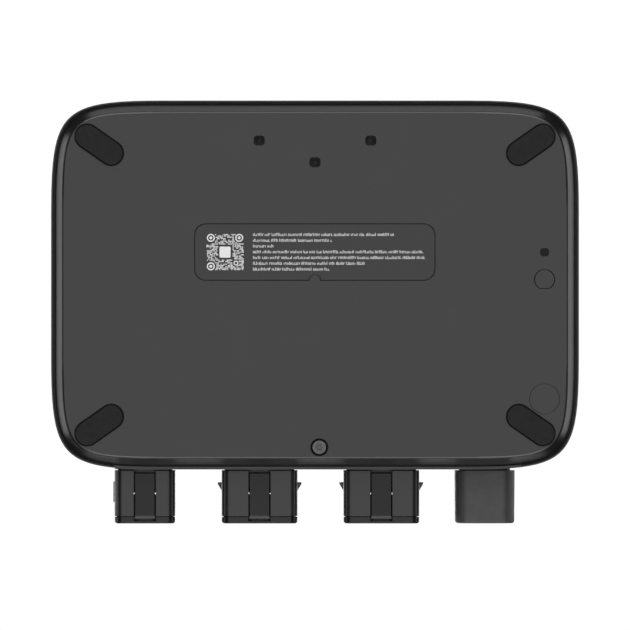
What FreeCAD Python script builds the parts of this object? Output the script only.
"""A sealed vehicle battery charger (DC-DC converter) with four plug-in ports, as a parametric assembly.

The row frame: +Z is up, the charger stands on its rubber feet at Z = 0, the ports face -Y and X is the
long side. The origin is the centre of the whole footprint, ports included. Everything is drawn about the
case's own centre, and each sub-part's Placement then carries it to the row frame.
"""

import FreeCAD
import Part
import Sketcher
import math
import os
from FreeCAD import Placement, Rotation, Vector

doc = FreeCAD.newDocument("battery_charger")

# ---------------------------------------------------------------------------------------------- sizes

SIZES = [
    # case outline
    ("case_width", 264.4, "long side of the case"),
    ("case_depth", 184.8, "short side of the case, without the ports"),
    ("corner_run", 55.3, "how far from the corner its curve begins"),
    ("corner_pull", 5.3, "pole distance from the corner, smaller is squarer"),
    # heights
    ("foot_proud", 2.0, "rubber feet below the base cover"),
    ("bevel_rise", 7.0, "height of the base cover's bevel"),
    ("lip_depth", 2.5, "height of the shell's lip round the base cover"),
    ("fin_height", 15.2, "cooling fins"),
    # shell
    ("shell_wall", 3.5, "side wall"),
    ("shell_skin", 3.5, "top skin round the fins"),
    ("shell_round", 5.0, "round along the shell's top edge"),
    ("lip_wall", 0.8, "thickness of the lip round the base cover"),
    ("post_radius", 4.5, "screw posts inside the shell"),
    ("post_bore", 1.65, "thread core of the screw posts"),
    ("corner_post_height", 21.0, "screw posts at the corners"),
    ("corner_rib", 4.0, "rib from a corner post to the wall"),
    ("corner_rib_length", 19.0, "reach of that rib"),
    # base cover
    ("cover_gap", 1.05, "shadow gap between lip and base cover"),
    ("cover_floor", 3.0, "base cover's floor"),
    ("cover_rim", 3.4, "base cover's rim wall"),
    ("bevel_inset", 5.8, "from the case outline to the flat underside"),
    ("cover_round", 1.2, "round between flat underside and bevel"),
    ("gasket_thick", 0.6, "base cover gasket"),
    ("gasket_width", 1.5, "base cover gasket, across"),
    ("gasket_end_gap", 1.0, "from the base cover gasket to the panel's lip"),
    # feet
    ("foot_from_side", 24.25, "foot centre in from the case's left and right"),
    ("foot_from_end", 22.3, "foot centre in from the case's front and rear"),
    ("foot_straight", 14.7, "between the centres of a foot's round ends"),
    ("foot_radius", 5.9, "round end of a foot"),
    ("foot_recess", 1.5, "depth of a foot's recess"),
    ("foot_gap", 0.5, "gap round a foot"),
    ("foot_angle", 35.0, "degrees from the long side"),
    ("foot_round", 0.7, "round under a foot"),
    # M4 cover screws
    ("screw_head_radius", 3.7, "M4 flat head"),
    ("screw_head_height", 2.2, "M4 flat head"),
    ("screw_shank_radius", 1.6, "M4 thread core that fills the post's bore"),
    ("screw_shank", 13.5, "M4 screw under its head"),
    ("screw_hole_radius", 2.2, "clearance hole"),
    ("screw_well_radius", 4.45, "counterbore"),
    ("front_screw_in", 11.2, "visible cover screw, in from the case's front"),
    ("front_screw_sink", 1.0, "its head below the underside"),
    ("hidden_screw_sink", 0.5, "hidden heads below the foot recess"),
    ("cover_boss_radius", 7.0, "base cover's screw bosses"),
    ("front_boss_radius", 6.0, "boss of the visible cover screw"),
    ("drive_radius", 1.3, "six-lobe drive, to its lobe centres"),
    ("lobe_radius", 0.55, "lobe of the drive"),
    ("drive_depth", 1.5, "depth of the drive"),
    ("drive_pin_radius", 0.55, "security pin in the drive"),
    ("drive_pin_sink", 0.3, "security pin below the head's face"),
    ("head_round", 0.35, "round at the M4 head's rim"),
    ("thread_tip", 0.6, "bevel at an M4 screw's tip"),
    # label plate
    ("label_x", 0.1, "label centre"),
    ("label_y", 16.45, "label centre"),
    ("label_width", 119.8, "label plate"),
    ("label_height", 27.8, "label plate"),
    ("label_round", 5.5, "label corner"),
    ("label_thick", 0.75, "label plate"),
    ("label_recess", 0.9, "depth of its recess"),
    ("label_gap", 0.5, "gap round it"),
    ("label_notch", 3.15, "lifting notch radius"),
    # bracket holes
    ("bracket_spacing", 55.85, "between the two outer bracket holes"),
    ("bracket_in", 20.15, "outer bracket holes, in from the case's rear"),
    ("bracket_middle_in", 31.05, "middle bracket hole, in from the case's rear"),
    ("window_width", 5.5, "window over a bracket insert"),
    ("window_height", 5.1, "window over a bracket insert"),
    ("window_round", 1.9, "its corner"),
    ("window_depth", 4.5, "from the underside to the insert"),
    ("insert_bore", 1.65, "M4 insert, thread core"),
    ("insert_radius", 2.8, "M4 insert, outside"),
    ("insert_length", 7.5, "M4 insert"),
    ("insert_boss_radius", 5.0, "boss round an insert"),
    ("insert_cap", 1.5, "boss above the insert"),
    ("insert_groove", 0.4, "depth and half width of the groove round an insert"),
    # pairing button, indicator and access plug, in one column
    ("column_in", 17.35, "the column, in from the case's left"),
    ("button_y", 2.7, "pairing button"),
    ("button_hole", 5.2, "button hole radius"),
    ("button_gap", 0.3, "gap round the button"),
    ("button_chord", 4.5, "from the button's centre to the hole's flat"),
    ("button_flange", 6.4, "button's inner flange radius"),
    ("button_flange_thick", 0.9, "button's inner flange"),
    ("button_sliver", 0.35, "dip beside the button's flat"),
    ("dome_radius", 4.0, "silicone dome"),
    ("dome_wall", 0.8, "silicone dome's skin"),
    ("dome_neck", 2.4, "silicone dome's flat top"),
    ("lens_y", 16.4, "indicator window"),
    ("lens_width", 4.4, "indicator window"),
    ("lens_height", 4.1, "indicator window"),
    ("lens_round", 1.6, "its corner"),
    ("lens_gap", 0.1, "gap round the light pipe"),
    ("lens_inside", 2.8, "light pipe behind the cover's floor"),
    ("lens_sink", 0.7, "light pipe below the underside"),
    ("lens_collar", 1.0, "light pipe's collar, out and up"),
    ("plug_in", 35.4, "access plug, in from the case's front"),
    ("plug_radius", 7.45, "access plug"),
    ("plug_gap", 0.15, "gap round it"),
    ("plug_ledge", 1.2, "ledge that it rests on"),
    ("plug_thick", 1.5, "access plug"),
    ("plug_snap", 0.2, "plug's snap lip beyond the floor"),
    ("plug_snap_height", 0.8, "plug's snap lip"),
    ("plug_wall", 1.5, "plug's hollow stem"),
    # port panel
    ("panel_right_over", 0.35, "panel's lip beyond the input port"),
    ("panel_left_over", 3.0, "panel's lip beyond the signal cap"),
    ("panel_thick", 5.5, "port panel"),
    ("panel_lip", 1.4, "panel's lip below the joint"),
    ("panel_gap", 0.3, "gap round the panel"),
    ("flange_bore", 4.0, "flange screws' bores in the panel"),
    ("panel_margin", 4.0, "panel beyond its lip's ends"),
    ("panel_over", 0.6, "panel above the port flanges"),
    ("panel_tab_width", 140.0, "tab behind the shell's wall"),
    ("panel_tab_below", 3.4, "from that tab to the shell's skin"),
    ("window_behind", 6.0, "shell's opening behind its wall"),
    # ports
    ("port_reach", 27.25, "ports beyond the case"),
    ("port_lift", 0.5, "port flanges above the shell's joint"),
    ("port_height", 25.0, "port housing"),
    ("port_round", 4.5, "port housing corner"),
    ("port_wall", 2.0, "port housing wall"),
    ("port_sole", 7.0, "thicker wall below, which holds the latch"),
    ("port_floor_reach", 1.6, "socket floor beyond the case"),
    ("port_flange_side", 2.0, "flange beside the housing"),
    ("port_flange_over", 6.0, "flange above and below the housing"),
    ("port_flange_thick", 3.0, "flange"),
    ("flange_screw_in", 4.5, "flange screws, in from the housing's sides"),
    ("port_seal", 0.8, "gasket between flange and panel"),
    ("port_clearance", 0.2, "housing in the panel"),
    ("neck_length", 0.8, "narrower neck of a housing in front of the panel"),
    ("neck_inset", 1.6, "neck below the housing's surface"),
    ("mouth_ring", 3.25, "sealing ring at the mouth"),
    ("ring_chamfer", 0.6, "chamfer round the mouth"),
    ("mouth_groove", 0.4, "groove behind the ring"),
    ("spigot_inset", 1.2, "spigot below the housing's surface"),
    ("spigot_short", 0.45, "ring's lip over the spigot's end"),
    ("fit_gap", 0.05, "moulded fits"),
    ("front_screw_x", -2.15, "visible cover screw"),
    ("input_gap", 23.15, "between the first output port and the input port"),
    ("input_width", 30.6, "battery input port"),
    ("output_a_gap", 10.9, "from the cover screw to the first output port"),
    ("output_b_gap", 12.05, "from the cover screw to the second output port"),
    ("output_width", 38.2, "output ports"),
    ("signal_gap", 17.8, "between the second output port and the signal cap"),
    ("signal_width", 25.6, "signal port"),
    ("signal_height", 18.0, "signal port"),
    ("signal_reach", 24.0, "signal port beyond the case"),
    # barbs and key on the ports' sides
    ("barb_out", 1.95, "barb beside an output port"),
    ("barb_back", 6.7, "barb's square face beyond the case"),
    ("barb_land", 0.8, "barb's flat top"),
    ("barb_ramp", 3.4, "barb's ramp"),
    ("barb_height", 8.0, "barb, up and down"),
    ("key_out", 0.65, "key beside the input port"),
    ("key_back", 6.3, "key's start beyond the case"),
    ("key_length", 10.35, "key"),
    # latch levers
    ("latch_width", 10.3, "latch lever"),
    ("latch_side_gap", 0.4, "gap beside a lever"),
    ("latch_back", 1.7, "lever's rear end beyond the case"),
    ("latch_length", 23.2, "latch lever"),
    ("latch_thick", 2.0, "latch lever"),
    ("latch_sink", 0.1, "lever below the housing's surface"),
    ("latch_channel", 3.0, "channel under a lever"),
    ("latch_pocket", 4.3, "deeper pocket under its rear half"),
    ("latch_pocket_end", 14.9, "pocket's end beyond the case"),
    ("latch_channel_end", 26.2, "channel's end beyond the case"),
    ("latch_pivot_back", 12.1, "pivot beyond the case"),
    ("latch_pivot_in", 1.9, "pivot above the housing's underside"),
    ("latch_eye", 1.75, "round eye about the pivot"),
    ("latch_hook", 0.45, "hook below the lever's inner face"),
    ("latch_ramp", 1.5, "bevel at the hook's end"),
    ("latch_bevel", 0.45, "rise of that bevel"),
    ("latch_edge", 0.3, "chamfer along the lever"),
    ("latch_rear_gap", 1.3, "open channel behind the lever"),
    ("pivot_fit", 0.01, "clearance of the pin in the housing"),
    ("pivot_radius", 0.75, "pivot pin"),
    ("pivot_play", 0.05, "running clearance on the pin"),
    ("pivot_reach", 3.0, "pin beyond the lever, each side"),
    ("spring_back", 4.3, "spring beyond the case"),
    ("spring_radius", 1.3, "spring, to its wire's centre"),
    ("spring_wire", 0.2, "spring wire radius"),
    ("spring_seat", 6.1, "spring seat above the housing's underside"),
    ("spring_turns", 4.0, "spring turns"),
    ("spring_play", 0.02, "gap at each end of the spring"),
    ("spring_hole", 1.9, "hole round the spring"),
    # contacts
    ("pin_radius", 3.0, "power pin"),
    ("pin_back", 8.0, "power pin's tip behind the mouth"),
    ("pin_tip_round", 1.2, "round at its tip"),
    ("pin_collar", 4.0, "collar behind the housing"),
    ("pin_collar_thick", 2.0, "collar"),
    ("pin_stud", 2.4, "stud behind the collar"),
    ("pin_stud_length", 6.6, "stud"),
    ("input_pin_pitch", 13.2, "between the input pins"),
    ("output_pin_pitch", 18.4, "between the output pins"),
    ("tube_radius", 5.3, "shroud round a pin"),
    ("tube_wall", 1.0, "shroud round a pin"),
    ("tube_back", 7.4, "shroud's end behind the mouth"),
    ("insulator_thick", 6.0, "insulator block"),
    ("insulator_in", 4.0, "insulator in from the housing's sides"),
    ("signal_pin_side", 1.0, "square signal pin"),
    ("signal_pin_pitch", 3.2, "between signal pins"),
    ("nut_flat", 8.0, "terminal nut, across flats"),
    ("nut_thick", 3.5, "terminal nut"),
    # busbars
    ("busbar_width", 10.0, "busbar"),
    ("busbar_thick", 2.0, "busbar"),
    ("busbar_land", 8.0, "busbar over the board"),
    # signal cap
    ("cap_width", 30.15, "rubber cap"),
    ("cap_gap", 0.3, "cap round the signal port"),
    ("cap_stand_off", 0.75, "cap's edge off the panel"),
    ("cap_draft", 0.2, "cap's taper along its length"),
    ("cap_end_round", 1.3, "round at the cap's end"),
    # M3 screws
    ("small_head_radius", 2.75, "M3 head"),
    ("small_head_height", 2.0, "M3 head"),
    ("small_core", 1.2, "M3 thread core"),
    ("small_shank", 5.5, "M3 screw"),
    ("screw_clear", 0.4, "clearance round an M3 thread core"),
    ("socket_radius", 1.1, "M3 drive"),
    ("socket_depth", 1.0, "M3 drive"),
    ("small_bevel", 0.3, "bevel at an M3 head's rim"),
    ("small_tip", 0.4, "bevel at an M3 screw's tip"),
    # heat sink
    ("fin_field_side", 30.2, "fin opening, in from the case's left and right"),
    ("fin_field_end", 28.4, "fin opening, in from the case's front and rear"),
    ("fin_field_round", 14.0, "its corner"),
    ("sink_wall", 2.5, "heat sink's pan wall"),
    ("sink_floor", 5.0, "heat sink's pan floor"),
    ("sink_over_board", 15.0, "that floor above the main board"),
    ("sink_flange", 8.5, "flange round the pan"),
    ("sink_flange_thick", 4.0, "flange"),
    ("sink_seal", 0.8, "gasket under the skin"),
    ("sink_seal_in", 0.6, "gasket back from the opening"),
    ("sink_seal_out", 2.0, "gasket beyond the pan's wall"),
    ("fin_root", 2.4, "fin at its root"),
    ("fin_tip", 1.5, "fin at its tip"),
    ("fin_pitch", 6.5, "between fins"),
    ("fin_end_gap", 4.0, "from a fin to the pan's wall"),
    ("fin_below", 0.8, "fin tips below the skin"),
    ("top_screw_radius", 2.8, "countersunk head"),
    ("top_screw_length", 7.6, "countersunk screw"),
    ("top_screw_spread", 0.37, "outer screws, as a share of the opening"),
    ("top_screw_nearer", 17.0, "side screws nearer to the middle than that share"),
    ("top_screw_sink", 0.1, "countersunk head below the skin"),
    # main board
    ("board_side", 32.2, "main board, in from the case's left and right"),
    ("board_end", 26.4, "main board, in from the case's front and rear"),
    ("board_thick", 2.0, "main board"),
    ("board_below_pins", 8.5, "main board's underside below the power pins"),
    ("stand_radius", 4.0, "heat sink's board posts"),
    ("stand_side", 8.0, "board posts, in from the board's ends"),
    ("stand_rear", 10.0, "rear board posts, in from the board's edge"),
    ("stand_front", 26.0, "front board posts, in from the board's edge"),
    ("stand_middle", 5.0, "middle board post, in from the board's edge"),
    # parts on the main board
    ("transistor_width", 16.0, "power transistor"),
    ("transistor_depth", 19.0, "power transistor"),
    ("transistor_height", 4.5, "power transistor"),
    ("transistor_gap", 2.0, "between transistors"),
    ("transistor_in", 20.0, "their row, in from the board's edge"),
    ("transistor_row_share", 0.75, "their row, as a share of the board"),
    ("transistor_bevel", 0.4, "bevel of their top edge"),
    ("transistor_dimple", 1.8, "mounting hole in their top"),
    ("pad_thick", 1.0, "thermal pad"),
    ("pad_margin", 0.5, "pedestal beyond the pad, all round"),
    ("core_height", 14.0, "transformer core"),
    ("core_proportion", 1.25, "transformer core, its length by its depth"),
    ("choke_proportion", 0.7933, "square choke core, its side by the transformer's depth"),
    ("choke_gap", 14.5, "between the transformer's core and a choke's"),
    ("core_plate", 3.5, "core's top and bottom plate"),
    ("leg_share", 0.17, "core's outer legs, as a share of its length"),
    ("centre_leg_share", 0.2, "core's centre leg's radius, as a share of its depth"),
    ("coil_gap", 0.3, "gap round a coil"),
    ("capacitor_radius", 6.25, "bulk capacitor"),
    ("capacitor_height", 13.0, "bulk capacitor"),
    ("capacitor_side", 13.5, "capacitors, in from the board's ends"),
    ("capacitor_gap", 1.5, "between capacitors"),
    ("capacitor_crimp", 0.5, "depth of the groove near its base"),
    ("capacitor_round", 0.6, "bevel at its top"),
    ("fuse_length", 24.0, "input fuse"),
    ("fuse_width", 8.0, "input fuse"),
    ("fuse_in", 5.0, "input fuse, in from the board's front edge"),
    ("fuse_off_centre", 1.0, "input fuse, off the middle of its two ports"),
    ("fuse_base", 3.0, "fuse holder's height"),
    ("fuse_case", 4.0, "fuse's own height"),
    ("fuse_blade", 1.0, "fuse's metal blades"),
    ("chip_side", 8.0, "control chip"),
    ("chip_height", 1.6, "control chip"),
    ("chip_margin", 3.85, "clearance on each side of a lane of chips"),
    ("chip_pitch", 22.0, "between the centres of neighbouring chips"),
    # interface board
    ("interface_width", 18.0, "interface board"),
    ("interface_front", 3.0, "interface board in front of the plug's centre"),
    ("interface_rear", 11.6, "interface board behind the indicator"),
    ("interface_thick", 1.2, "interface board"),
    ("interface_lift", 4.4, "interface board above the cover's floor"),
    ("peg_radius", 1.2, "base cover's pegs"),
    ("peg_in", 4.0, "pegs, from the access plug and from the board's rear end"),
    ("peg_above", 0.6, "pegs beyond the board"),
    ("radio_width", 12.0, "radio module"),
    ("radio_height", 2.2, "radio module's shield"),
    ("aerial_share", 0.24, "its aerial block, as a share of the module's length"),
    ("aerial_height", 1.0, "aerial block"),
    ("radio_front_gap", 1.5, "from the front peg's foot to the module"),
    ("radio_rear_gap", 3.35, "from the module to the nearer ribbon cable"),
    ("led_width", 3.0, "status light"),
    ("led_depth", 2.8, "status light"),
    ("led_gap", 0.2, "from the light pipe to the status light"),
    ("ribbon_thick", 0.8, "ribbon cable"),
    ("ribbon_width", 12.0, "ribbon cable"),
    ("ribbon_front", 8.0, "front ribbon cable's rear edge, in front of the button"),
    ("ribbon_rear", 6.0, "rear ribbon cable's rear edge, behind the button"),
    ("ribbon_reach", 4.0, "ribbon cables beyond the main board's edge, and over it"),
    ("ribbon_start", 3.0, "ribbon cables' start, in from the column"),
]

sheet = doc.addObject("Spreadsheet::Sheet", "Sizes")
for row, (alias, number, note) in enumerate(SIZES, 1):
    sheet.set(f"A{row}", alias)
    sheet.set(f"B{row}", str(number))
    sheet.set(f"C{row}", note)
    sheet.setAlias(f"B{row}", alias)
doc.recompute()


class Size(float):
    """A number that remembers the spreadsheet expression that it comes from."""

    def __new__(cls, number, text):
        made = super().__new__(cls, number)
        made.text = text
        return made

    def __add__(self, other):
        return Size(float(self) + float(other), f"({self.text} + {written(other)})")

    def __radd__(self, other):
        return Size(float(other) + float(self), f"({written(other)} + {self.text})")

    def __sub__(self, other):
        return Size(float(self) - float(other), f"({self.text} - {written(other)})")

    def __rsub__(self, other):
        return Size(float(other) - float(self), f"({written(other)} - {self.text})")

    def __mul__(self, other):
        return Size(float(self) * float(other), f"({self.text} * {written(other)})")

    __rmul__ = __mul__

    def __truediv__(self, other):
        return Size(float(self) / float(other), f"({self.text} / {written(other)})")

    def __neg__(self):
        return Size(-float(self), f"(-1 * {self.text})")


def written(number):
    """A number in the form that an expression takes."""
    return number.text if isinstance(number, Size) else repr(float(number))


class Named:
    """The driving sizes by name, each as a Size."""


d = Named()
for alias, _, _ in SIZES:
    setattr(d, alias, Size(float(sheet.get(alias)), f"{sheet.Name}.{alias}"))

# Heights and places that several sub-parts share.
underside = d.foot_proud
bevel_top = underside + d.bevel_rise
joint = bevel_top + d.lip_depth
cover_inside = underside + d.cover_floor
cover_top = joint - d.gasket_thick
cover_inset = d.lip_wall + d.cover_gap

case_front = -d.case_depth / 2
mouth = case_front - d.port_reach
panel_back = case_front + d.panel_thick
flange_front = panel_back + d.port_seal
flange_back = flange_front + d.port_flange_thick
port_bottom = joint + d.port_lift + d.port_flange_over
port_axis = port_bottom + d.port_height / 2
socket_low = port_bottom + d.port_sole
socket_high = port_bottom + d.port_height - d.port_wall
socket_axis = (socket_low + socket_high) / 2
socket_height = socket_high - socket_low
socket_floor = case_front - d.port_floor_reach
ring_back = mouth + d.mouth_ring
spigot_start = ring_back + d.mouth_groove
spigot_end = mouth + d.spigot_short
panel_top = port_axis + d.port_height / 2 + d.port_flange_over + d.panel_over

board_width = d.case_width - d.board_side * 2
board_depth = d.case_depth - d.board_end * 2
board_low = socket_axis - d.board_below_pins
board_top = board_low + d.board_thick
stand_x = board_width / 2 - d.stand_side
sink_low = board_top + d.sink_over_board
pan_floor = sink_low + d.sink_floor
shell_top = pan_floor + d.fin_height + d.fin_below
skin_inside = shell_top - d.shell_skin
sink_top = skin_inside - d.sink_seal
field_width = d.case_width - d.fin_field_side * 2
field_depth = d.case_depth - d.fin_field_end * 2
pedestal_low = board_top + d.transistor_height + d.pad_thick
transistor_row = board_depth / 2 - d.transistor_in
# A lane of chips lies inside each row of transistors, and the wound parts take the room between the lanes.
chip_lane = transistor_row - d.transistor_depth / 2 - d.chip_margin - d.chip_side / 2
core_depth = (chip_lane - d.chip_side / 2 - d.chip_margin) * 2
core_length = core_depth * d.core_proportion
choke_side = core_depth * d.choke_proportion
choke_x = core_length / 2 + d.choke_gap + choke_side / 2

front_screw_y = case_front + d.front_screw_in
foot_x = d.case_width / 2 - d.foot_from_side
foot_y = d.case_depth / 2 - d.foot_from_end
bracket_y = d.case_depth / 2 - d.bracket_in
bracket_middle_y = d.case_depth / 2 - d.bracket_middle_in
column_x = d.column_in - d.case_width / 2
plug_y = case_front + d.plug_in
interface_low = cover_inside + d.interface_lift
interface_top = interface_low + d.interface_thick
interface_front = plug_y - d.interface_front
interface_rear = d.lens_y + d.interface_rear
front_peg = plug_y + d.plug_radius + d.peg_in
rear_peg = interface_rear - d.peg_in

# The ports stand side by side from the cover screw outward, and the panel ends just beyond the last ones.
output_a_x = d.front_screw_x + d.output_a_gap + d.output_width / 2
output_b_x = d.front_screw_x - d.output_b_gap - d.output_width / 2
input_x = output_a_x + d.output_width / 2 + d.input_gap + d.input_width / 2
signal_x = output_b_x - d.output_width / 2 - d.signal_gap - d.cap_width / 2
panel_right = input_x + d.input_width / 2 + d.panel_right_over
panel_left = signal_x - d.cap_width / 2 - d.panel_left_over
signal_mouth = case_front - d.signal_reach

latch_low = port_bottom + d.latch_sink
latch_rear = case_front - d.latch_back
latch_front = latch_rear - d.latch_length
pivot_y = case_front - d.latch_pivot_back
pivot_z = port_bottom + d.latch_pivot_in
channel_rear = latch_rear + d.latch_rear_gap

to_row_frame = d.port_reach / 2  # from the case's centre to the middle of the whole footprint

PORTS = {
    "input_port": (input_x, d.input_width, d.input_pin_pitch),
    "output_port_a": (output_a_x, d.output_width, d.output_pin_pitch),
    "output_port_b": (output_b_x, d.output_width, d.output_pin_pitch),
}
FOOT_CORNERS = {
    "front_left": (-1, -1),
    "front_right": (1, -1),
    "rear_left": (-1, 1),
    "rear_right": (1, 1),
}
FAR = 400.0  # reaches past any part of the case

# ------------------------------------------------------------------------------------------- helpers

nodes = {}


def node(thing, label):
    """Names a finished sub-part and carries it from the case's centre to the row frame."""
    thing.Label = label
    thing.setExpression("Placement.Base.y", to_row_frame.text)
    nodes[label] = thing
    return thing


def bind(thing, path, number):
    """Ties a property to the sheet, or sets it where the number doesn't come from there."""
    thing.setExpression(path, written(number))


def new_body(name):
    return doc.addObject("PartDesign::Body", name)


def new_sketch(body, role, at, turn=0.0):
    """A sketch on one of the body's own origin planes, whose zero is at the point given in X, Y and Z."""
    x, y, z = at
    local = {"XY_Plane": (x, y, z), "XZ_Plane": (x, z, -1 * y), "YZ_Plane": (y, z, x)}[role]
    plane = next(f for f in body.Origin.OriginFeatures if f.Role == role)
    sketch = body.newObject("Sketcher::SketchObject", "Sketch")
    sketch.AttachmentSupport = [(plane, "")]
    sketch.MapMode = "FlatFace"
    sketch.AttachmentOffset = Placement(Vector(*map(float, local)), Rotation(Vector(0, 0, 1), turn))
    for axis, number in zip("xyz", local):
        bind(sketch, f"AttachmentOffset.Base.{axis}", number)
    return sketch


def constrain(sketch, *parts):
    return sketch.addConstraint(Sketcher.Constraint(*parts))


def dimension(sketch, kind, *parts):
    """A dimension whose value, the last argument, is tied to the sheet."""
    index = constrain(sketch, kind, *parts[:-1], float(parts[-1]))
    bind(sketch, f"Constraints[{index}]", parts[-1])


def draw_box(sketch, width, height, radius):
    """A rounded rectangle about the sketch's zero."""
    w, h, r = float(width) / 2, float(height) / 2, float(radius)
    ends = [
        ((r - w, -h), (w - r, -h)),
        ((w, r - h), (w, h - r)),
        ((w - r, h), (r - w, h)),
        ((-w, h - r), (-w, r - h)),
    ]
    for start, end in ends:
        sketch.addGeometry(Part.LineSegment(Vector(*start, 0), Vector(*end, 0)))
    quarter = math.pi / 2
    centres = [(w - r, r - h), (w - r, h - r), (r - w, h - r), (r - w, r - h)]
    for i, centre in enumerate(centres):
        circle = Part.Circle(Vector(*centre, 0), Vector(0, 0, 1), r)
        sketch.addGeometry(Part.ArcOfCircle(circle, (i - 1) * quarter, i * quarter))
    for i in range(4):
        constrain(sketch, "Tangent", i, 2, 4 + i, 1)
        constrain(sketch, "Tangent", 4 + i, 2, (i + 1) % 4, 1)
        constrain(sketch, "Vertical" if i % 2 else "Horizontal", i)
        if i:
            constrain(sketch, "Equal", 4, 4 + i)
    constrain(sketch, "Symmetric", 0, 1, 2, 1, -1, 1)
    dimension(sketch, "Radius", 4, radius)
    dimension(sketch, "DistanceX", 3, 1, 1, 1, width)
    dimension(sketch, "DistanceY", 0, 1, 2, 1, height)


def draw_circle(sketch, radius):
    sketch.addGeometry(Part.Circle(Vector(0, 0, 0), Vector(0, 0, 1), float(radius)))
    constrain(sketch, "Coincident", 0, 3, -1, 1)
    dimension(sketch, "Radius", 0, radius)


def draw_circles(sketch, points, radius):
    """Equal circles, each about a point given from the sketch's zero."""
    for i, (x, y) in enumerate(points):
        sketch.addGeometry(Part.Circle(Vector(float(x), float(y), 0), Vector(0, 0, 1), float(radius)))
        for kind, axis, number in (("DistanceX", -2, x), ("DistanceY", -1, y)):
            if abs(float(number)) < 1e-9:
                constrain(sketch, "PointOnObject", i, 3, axis)
            else:
                dimension(sketch, kind, -1, 1, i, 3, number)
        if i:
            constrain(sketch, "Equal", 0, i)
    dimension(sketch, "Radius", 0, radius)


def draw_slot(sketch, straight, radius):
    """A stadium along the sketch's own first axis."""
    c, r = float(straight) / 2, float(radius)
    sketch.addGeometry(Part.LineSegment(Vector(-c, -r, 0), Vector(c, -r, 0)))
    right = Part.Circle(Vector(c, 0, 0), Vector(0, 0, 1), r)
    sketch.addGeometry(Part.ArcOfCircle(right, -math.pi / 2, math.pi / 2))
    sketch.addGeometry(Part.LineSegment(Vector(c, r, 0), Vector(-c, r, 0)))
    left = Part.Circle(Vector(-c, 0, 0), Vector(0, 0, 1), r)
    sketch.addGeometry(Part.ArcOfCircle(left, math.pi / 2, 3 * math.pi / 2))
    for i in range(4):
        constrain(sketch, "Tangent", i, 2, (i + 1) % 4, 1)
    constrain(sketch, "Equal", 1, 3)
    constrain(sketch, "Horizontal", 0)
    constrain(sketch, "Symmetric", 1, 3, 3, 3, -1, 1)
    dimension(sketch, "Radius", 1, radius)
    dimension(sketch, "DistanceX", 3, 3, 1, 3, straight)


def draw_polygon(sketch, points):
    """Straight lines through points, each given from the sketch's zero."""
    count = len(points)
    corners = [Vector(float(x), float(y), 0) for x, y in points]
    for i in range(count):
        sketch.addGeometry(Part.LineSegment(corners[i], corners[(i + 1) % count]))
    for i, (x, y) in enumerate(points):
        constrain(sketch, "Coincident", i, 2, (i + 1) % count, 1)
        for kind, axis, number in (("DistanceX", -2, x), ("DistanceY", -1, y)):
            if abs(float(number)) < 1e-9:
                constrain(sketch, "PointOnObject", i, 1, axis)
            else:
                dimension(sketch, kind, -1, 1, i, 1, number)


def outline_edges(inset):
    """The case outline, moved in by an inset: four straight sides and four corners that ease into them."""
    half_x = float(d.case_width) / 2 - float(inset)
    half_y = float(d.case_depth) / 2 - float(inset)
    run = float(d.corner_run) - float(inset)
    pull = float(d.corner_pull) - 0.448 * float(inset)  # keeps the inset even round the corner
    edges = []
    for sx, sy in ((1, -1), (1, 1), (-1, 1), (-1, -1)):
        near_y = Vector(sx * half_x, sy * (half_y - run), 0)
        pull_y = Vector(sx * half_x, sy * (half_y - pull), 0)
        pull_x = Vector(sx * (half_x - pull), sy * half_y, 0)
        near_x = Vector(sx * (half_x - run), sy * half_y, 0)
        poles = [near_x, pull_x, pull_y, near_y]
        corner = Part.BezierCurve()
        corner.setPoles(poles if sx * sy < 0 else poles[::-1])
        edges.append(corner.toBSpline())
    made = []
    for i, corner in enumerate(edges):
        following = edges[(i + 1) % 4]
        made.append(corner)
        made.append(Part.LineSegment(corner.EndPoint, following.StartPoint))
    return made


def draw_outline(sketch, inset):
    for curve in outline_edges(inset):
        sketch.addGeometry(curve)


def extrude(body, kind, sketch, length, along):
    """Pads or pockets a sketch in its plane's own direction (along = 1) or against it (-1)."""
    before = body.Shape.Volume if body.Shape and not body.Shape.isNull() else 0.0
    feature = body.newObject(f"PartDesign::{kind}", kind)
    feature.Profile = sketch
    bind(feature, "Length", length)
    feature.Reversed = (along < 0) if kind == "Pad" else (along > 0)
    sketch.Visibility = False
    doc.recompute([sketch, feature, body])
    after = body.Shape.Volume
    if (after <= before) if kind == "Pad" else (after >= before):
        raise ValueError(f"{body.Name}: {feature.Name} changed nothing, {before} to {after}")
    return feature


def pad(body, sketch, length, along=1):
    return extrude(body, "Pad", sketch, length, along)


def pocket(body, sketch, length, along):
    return extrude(body, "Pocket", sketch, length, along)


def loft(body, first, second):
    feature = body.newObject("PartDesign::AdditiveLoft", "Loft")
    feature.Profile = first
    feature.Sections = [second]
    feature.Ruled = True
    doc.recompute()
    return feature


def revolve(body, sketch, axis="V_Axis"):
    feature = body.newObject("PartDesign::Revolution", "Revolution")
    feature.Profile = sketch
    feature.ReferenceAxis = (sketch, [axis])
    feature.Angle = 360.0
    doc.recompute()
    return feature


def repeat(body, features, axis, pitch, count):
    """A linear pattern along one of the body's own axes."""
    feature = body.newObject("PartDesign::LinearPattern", "LinearPattern")
    feature.Originals = features
    line = next(f for f in body.Origin.OriginFeatures if f.Role == axis)
    feature.Direction = (line, [""])
    bind(feature, "Length", pitch * (count - 1))
    feature.Occurrences = int(count)
    body.Tip = feature
    doc.recompute()
    return feature


def turn_round(body, features, sketch, count):
    """A polar pattern about a sketch's normal."""
    feature = body.newObject("PartDesign::PolarPattern", "PolarPattern")
    feature.Originals = features
    feature.Axis = (sketch, ["N_Axis"])
    feature.Angle = 360.0
    feature.Occurrences = count
    body.Tip = feature
    doc.recompute()
    return feature


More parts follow.
